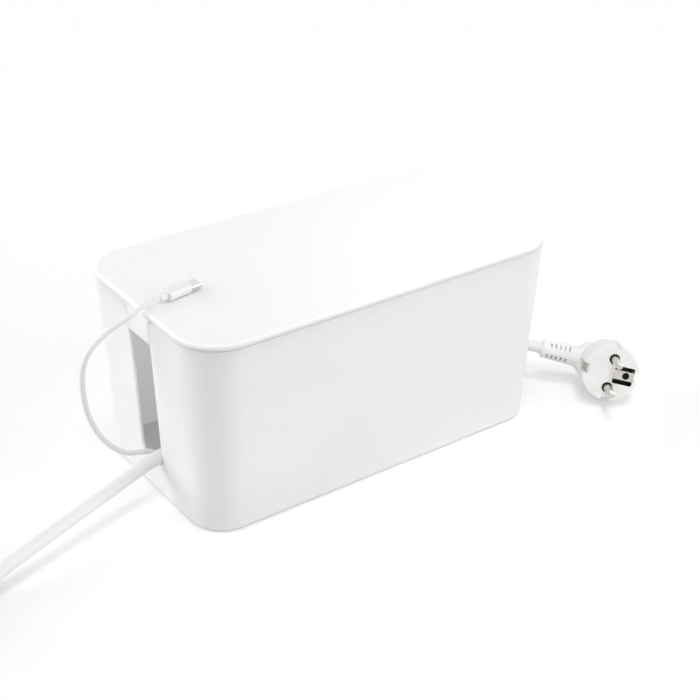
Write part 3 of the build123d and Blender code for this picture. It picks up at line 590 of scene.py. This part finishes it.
def hankRoute(wound):
    halfStep = 90 / wound["steps"]
    reach = wound["bend"] / cos(radians(halfStep))
    inside = wound["bend"] * sin(radians(halfStep)) / cos(radians(halfStep))
    left = wound["x"] - wound["run"] / 2
    right = wound["x"] + wound["run"] / 2
    back = wound["y"] + wound["bend"]
    front = wound["y"] - wound["bend"]
    angles = [halfStep * (2 * step + 1) for step in range(wound["steps"])]
    points = []
    for layer in range(wound["layers"]):
        z = wound["low"] + layer * wound["pitch"]
        points.append((left + inside, back, z))
        for angle in angles:
            turned = radians(90 + angle)
            points.append((left + reach * cos(turned), wound["y"] + reach * sin(turned), z))
        points.append((left + inside, front, z))
        points.append((right - inside, front, z))
        if layer < wound["layers"] - 1:
            for angle in angles:
                turned = radians(angle - 90)
                rise = wound["pitch"] * blendOver((angle - wound["riseFrom"]) / wound["riseOver"])
                points.append((right + reach * cos(turned), wound["y"] + reach * sin(turned), z + rise))
            points.append((right - inside, back, z + wound["pitch"]))
    return points


def layStripLead():
    route = stripLead["start"] + stripLead["turn"] + hankRoute(hank) + stripLead["toPlug"] + stripLead["end"]
    cord = routeCurve("stripLead", route, stripLead["thickness"], "softMainsSheath")
    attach(cord, "box")
    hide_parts("strip_lead_turn", "strip_lead_hank", "strip_lead_run")


layStripLead()
print("strip lead laid")


applianceLead = {
    "thickness": 8,
    "length": 1.52,  # m
    "start": [(-21.44, -22, 55.72)],
    "run": [
        (-33, -22, 56.3),
        (-48, -21.8, 56.6),
        (-62.5, -20.8, 54.7),
        (-76, -18.8, 50.2),
        (-87, -16.2, 43.4),
        (-98, -12.2, 36.2),
        (-110.3, -8.4, 30),
        (-126.5, -7.9, 26.2),
        (-147.5, -11.7, 22.3),
        (-169.8, -17.9, 19.9),
        (-191.3, -24, 17.8),
        (-211.3, -29.6, 15.8),
        (-231.3, -35.2, 13.6),
        (-250, -41.4, 10),
        (-267.5, -52.4, 6.2),
        (-281.6, -57.4, 4.9),
    ],
    "tail": [
        (-351.8, -20, 13.1),
        (-352.3, -8, 12.9),
        (-353.4, 4, 11.3),
        (-354.2, 16, 9.3),
        (-354.2, 28, 9.3),
    ],
}
floorCoil = {
    "centre": (-299.4, -8.2),
    "low": 4.9,
    "high": 13.1,
    "from": -70,
    "step": 15,
    "turned": 1530,  # in all
    "radii": [52.4, 44.2, 36, 36, 44.2, 52.4],
    "shifts": [(270, 360), (630, 720), (900, 990), (1080, 1170), (1300, 1390)],  # from radius to radius
    "climb": 2,  # the shift on which it climbs from low to high
}


def steppedValue(turned, values, shifts):
    value = values[0]
    for after, (begin, end) in zip(values[1:], shifts):
        value += (after - value) * blendOver((turned - begin) / (end - begin))
    return value


def coilRoute(wound):
    points = []
    reach = 1 / cos(radians(wound["step"] / 2))
    climbFrom, climbTo = wound["shifts"][wound["climb"]]
    for turned in range(wound["step"], wound["turned"] + 1, wound["step"]):
        radius = reach * steppedValue(turned, wound["radii"], wound["shifts"])
        angle = radians(wound["from"] - turned)
        climbed = blendOver((turned - climbFrom) / (climbTo - climbFrom))
        x = wound["centre"][0] + radius * cos(angle)
        y = wound["centre"][1] + radius * sin(angle)
        points.append((x, y, wound["low"] + (wound["high"] - wound["low"]) * climbed))
    return points


def layApplianceLead():
    route = applianceLead["start"] + applianceLead["run"] + coilRoute(floorCoil) + applianceLead["tail"]
    cord = routeCurve("applianceLead", route, applianceLead["thickness"], "softMainsSheath")
    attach(cord, "box")
    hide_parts("appliance_lead_run", "appliance_lead_coil", "appliance_lead_tail")
    onCord = ["appliance_plug_body", "appliance_plug_pins", "appliance_plug_earth_plates"]
    onCord += ["coil_tie", "connector_boot", "connector_body", "connector_contacts"]


layApplianceLead()
print("appliance lead laid")


chargingCord = {
    "thickness": 3.2,
    "length": 0.97,  # m
    "start": [(-54, -36, 70)],
    "drop": [
        (-54, -36, 80),
        (-57.8, -38.6, 88),
        (-64.7, -43.3, 91.7),
        (-72.2, -48.4, 89.8),
        (-77.2, -51.9, 83),
        (-79.2, -53.3, 73.5),
        (-79.5, -53.7, 63),
        (-79.3, -53.4, 52),
        (-79.2, -51.8, 42),
        (-79.1, -46.8, 33.4),
        (-79.1, -39.6, 28.2),
        (-79, -31.5, 26.6),
    ],
    "loopLow": [
        (-90.5, -19, 5.9),
        (-98.5, -18.9, 6.6),
        (-105.5, -15.8, 9.6),
        (-110, -9, 14.6),
        (-114, -2.6, 20.8),
        (-120, 1.8, 25.6),
        (-128, 2.9, 27.3),
        (-137.4, 2.6, 29.7),
        (-146.5, 1.8, 38.9),
        (-154, 0, 49.8),
        (-161.2, -2, 68),
        (-163.1, -3, 90.2),
    ],
    "loopTop": [
        (-159.9, -4.9, 106.7),
        (-147.2, -6.9, 117.3),
        (-133.2, -8.8, 123.3),
        (-126, -8.4, 127.2),
    ],
    "end": [(-114.62, -6.15, 127.2)],
    "bendAlong": (-0.8, 0, 0.6),  # from the box towards the lid
    "bendFrom": 125,
    "bendTo": 168,
}
smallCoil = {
    "centre": (-96, -36),
    "radius": 17,
    "high": 26.6,
    "low": 5.9,
    "fallTurns": 6.25,  # turns from high to low
    "from": 30,
    "to": 2220,
    "step": 15,
}


def smallCoilRoute(wound):
    points = []
    reach = wound["radius"] / cos(radians(wound["step"] / 2))
    fall = (wound["high"] - wound["low"]) / (360 * wound["fallTurns"])
    for turned in range(wound["from"], wound["to"] + 1, wound["step"]):
        angle = radians(turned)
        x = wound["centre"][0] + reach * cos(angle)
        y = wound["centre"][1] + reach * sin(angle)
        points.append((x, y, wound["high"] - fall * turned))
    return points


def meshOf(piece):
    bpy.context.view_layer.update()
    graph = bpy.context.evaluated_depsgraph_get()
    return bpy.data.meshes.new_from_object(piece.evaluated_get(graph))


def layChargingCord():
    route = chargingCord["start"] + chargingCord["drop"] + smallCoilRoute(smallCoil)
    route += chargingCord["loopLow"] + chargingCord["loopTop"] + chargingCord["end"]
    curve = routeCurve("chargingRoute", route, chargingCord["thickness"], "softChargingSheath")
    bevel = curve.data.bevel_depth
    curve.data.bevel_depth = 0  # the bare line gives the cord's path
    path = [vertex.co.copy() for vertex in meshOf(curve).vertices]
    curve.data.bevel_depth = bevel
    tube = meshOf(curve)
    bpy.data.objects.remove(curve)
    tube.polygons.foreach_set("use_smooth", [True] * len(tube.polygons))
    cord = bpy.data.objects.new("chargingCord", tube)
    scene.collection.objects.link(cord)
    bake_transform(cord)
    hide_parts("usb_cord_coil", "usb_cord_drop", "usb_cord_low", "usb_cord_top")


layChargingCord()
print("charging cord laid")


# a sun's "towards" points at the light, its brightness is that of a surface that faces it
studio = {
    "floorSize": 24000,
    "floorSeen": 1.0,
    "floorBounce": 0.86,
    "shadowLift": 0.33,  # share of plain white that the camera sees in the floor
    "ambient": 0.47,
    "suns": [
        {"name": "backLeftLight", "towards": (-0.85, 0.7, 0.36), "brightness": 0.52, "softness": 45},
        {"name": "frontRightLight", "towards": (0.85, -0.9, 0.3), "brightness": 0.38, "softness": 45},
        {"name": "overheadLight", "towards": (-0.05, -0.15, 1), "brightness": 0.27, "softness": 20},
    ],
}
# stands for the light that comes through the lid and walls, at the end where the slot shows the inside
insideLamp = {
    "power": 0.017,
    "place": (-80, -20, 90),
    "towards": (0, -0.65, 0.75),
    "across": 40,
}
# brightens the loose plug
plugLamp = {
    "power": 58,
    "towards": (-0.3, -0.45, 0.85),
    "away": 1200,
    "cone": 10,
    "radius": 200,
}


def layFloor():
    half = studio["floorSize"] / 2 * mm
    mesh = bpy.data.meshes.new("paleFloor")
    corners = [(-half, -half, 0), (half, -half, 0), (half, half, 0), (-half, half, 0)]
    mesh.from_pydata(corners, [], [(0, 1, 2, 3)])
    floor = bpy.data.objects.new("paleFloor", mesh)
    scene.collection.objects.link(floor)
    material = bpy.data.materials.new("paleFloorPaper")
    material.use_nodes = True
    tree = material.node_tree
    tree.nodes.clear()
    output = tree.nodes.new("ShaderNodeOutputMaterial")
    paper = tree.nodes.new("ShaderNodeBsdfDiffuse")
    rays = tree.nodes.new("ShaderNodeLightPath")
    tone = tree.nodes.new("ShaderNodeMapRange")
    tone.inputs["To Min"].default_value = studio["floorBounce"]
    tone.inputs["To Max"].default_value = studio["floorSeen"]
    tree.links.new(rays.outputs["Is Camera Ray"], tone.inputs["Value"])
    tree.links.new(tone.outputs["Result"], paper.inputs["Color"])
    glow = tree.nodes.new("ShaderNodeEmission")
    lift = tree.nodes.new("ShaderNodeMath")
    lift.operation = "MULTIPLY"
    lift.inputs[1].default_value = studio["shadowLift"]
    mixed = tree.nodes.new("ShaderNodeMixShader")
    tree.links.new(rays.outputs["Is Camera Ray"], lift.inputs[0])
    tree.links.new(lift.outputs["Value"], mixed.inputs["Fac"])
    tree.links.new(paper.outputs["BSDF"], mixed.inputs[1])
    tree.links.new(glow.outputs["Emission"], mixed.inputs[2])
    tree.links.new(mixed.outputs["Shader"], output.inputs["Surface"])
    mesh.materials.append(material)


# the world is plain white to the camera and in reflections, and gives a softer light to the rest
def lightWorld():
    world = bpy.data.worlds.new("paleRoom")
    scene.world = world
    world.use_nodes = True
    tree = world.node_tree
    tree.nodes.clear()
    output = tree.nodes.new("ShaderNodeOutputWorld")
    sky = tree.nodes.new("ShaderNodeBackground")
    sky.inputs["Color"].default_value = (1, 1, 1, 1)
    rays = tree.nodes.new("ShaderNodeLightPath")
    mirrored = tree.nodes.new("ShaderNodeMath")
    mirrored.operation = "MAXIMUM"
    seen = tree.nodes.new("ShaderNodeMath")
    seen.operation = "MAXIMUM"
    tone = tree.nodes.new("ShaderNodeMapRange")
    tone.inputs["To Min"].default_value = studio["ambient"]
    tone.inputs["To Max"].default_value = 1
    tree.links.new(rays.outputs["Is Glossy Ray"], mirrored.inputs[0])
    tree.links.new(rays.outputs["Is Transmission Ray"], mirrored.inputs[1])
    tree.links.new(rays.outputs["Is Camera Ray"], seen.inputs[0])
    tree.links.new(mirrored.outputs["Value"], seen.inputs[1])
    tree.links.new(seen.outputs["Value"], tone.inputs["Value"])
    tree.links.new(tone.outputs["Result"], sky.inputs["Strength"])
    tree.links.new(sky.outputs["Background"], output.inputs["Surface"])


def hangLight(name, kind, towards, place=(0, 0, 0)):
    light = bpy.data.objects.new(name, bpy.data.lights.new(name, kind))
    light.rotation_mode = "QUATERNION"
    light.rotation_quaternion = Vector(towards).to_track_quat("Z", "Y")
    light.location = place
    scene.collection.objects.link(light)
    return light


def hangSuns():
    for sun in studio["suns"]:
        light = hangLight(sun["name"], "SUN", sun["towards"])
        light.data.energy = sun["brightness"] * pi
        light.data.angle = radians(sun["softness"])


def hangInsideLamp(lamp):
    light = hangLight("insideLamp", "AREA", lamp["towards"], Vector(lamp["place"]) * mm)
    light.data.energy = lamp["power"]
    light.data.size = lamp["across"] * mm
    light.visible_camera = False
    light.visible_glossy = False


def hangPlugLamp(lamp):
    low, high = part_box("mains_plug_body")
    middle = (Vector(low) + Vector(high)) / 2
    towards = Vector(lamp["towards"]).normalized()
    light = hangLight("plugLamp", "SPOT", towards, middle + towards * lamp["away"] * mm)
    light.data.energy = lamp["power"]
    light.data.spot_size = radians(lamp["cone"])
    light.data.spot_blend = 1
    light.data.shadow_soft_size = lamp["radius"] * mm


layFloor()
lightWorld()
hangSuns()
hangInsideLamp(insideLamp)
hangPlugLamp(plugLamp)
print("floor and light ready")
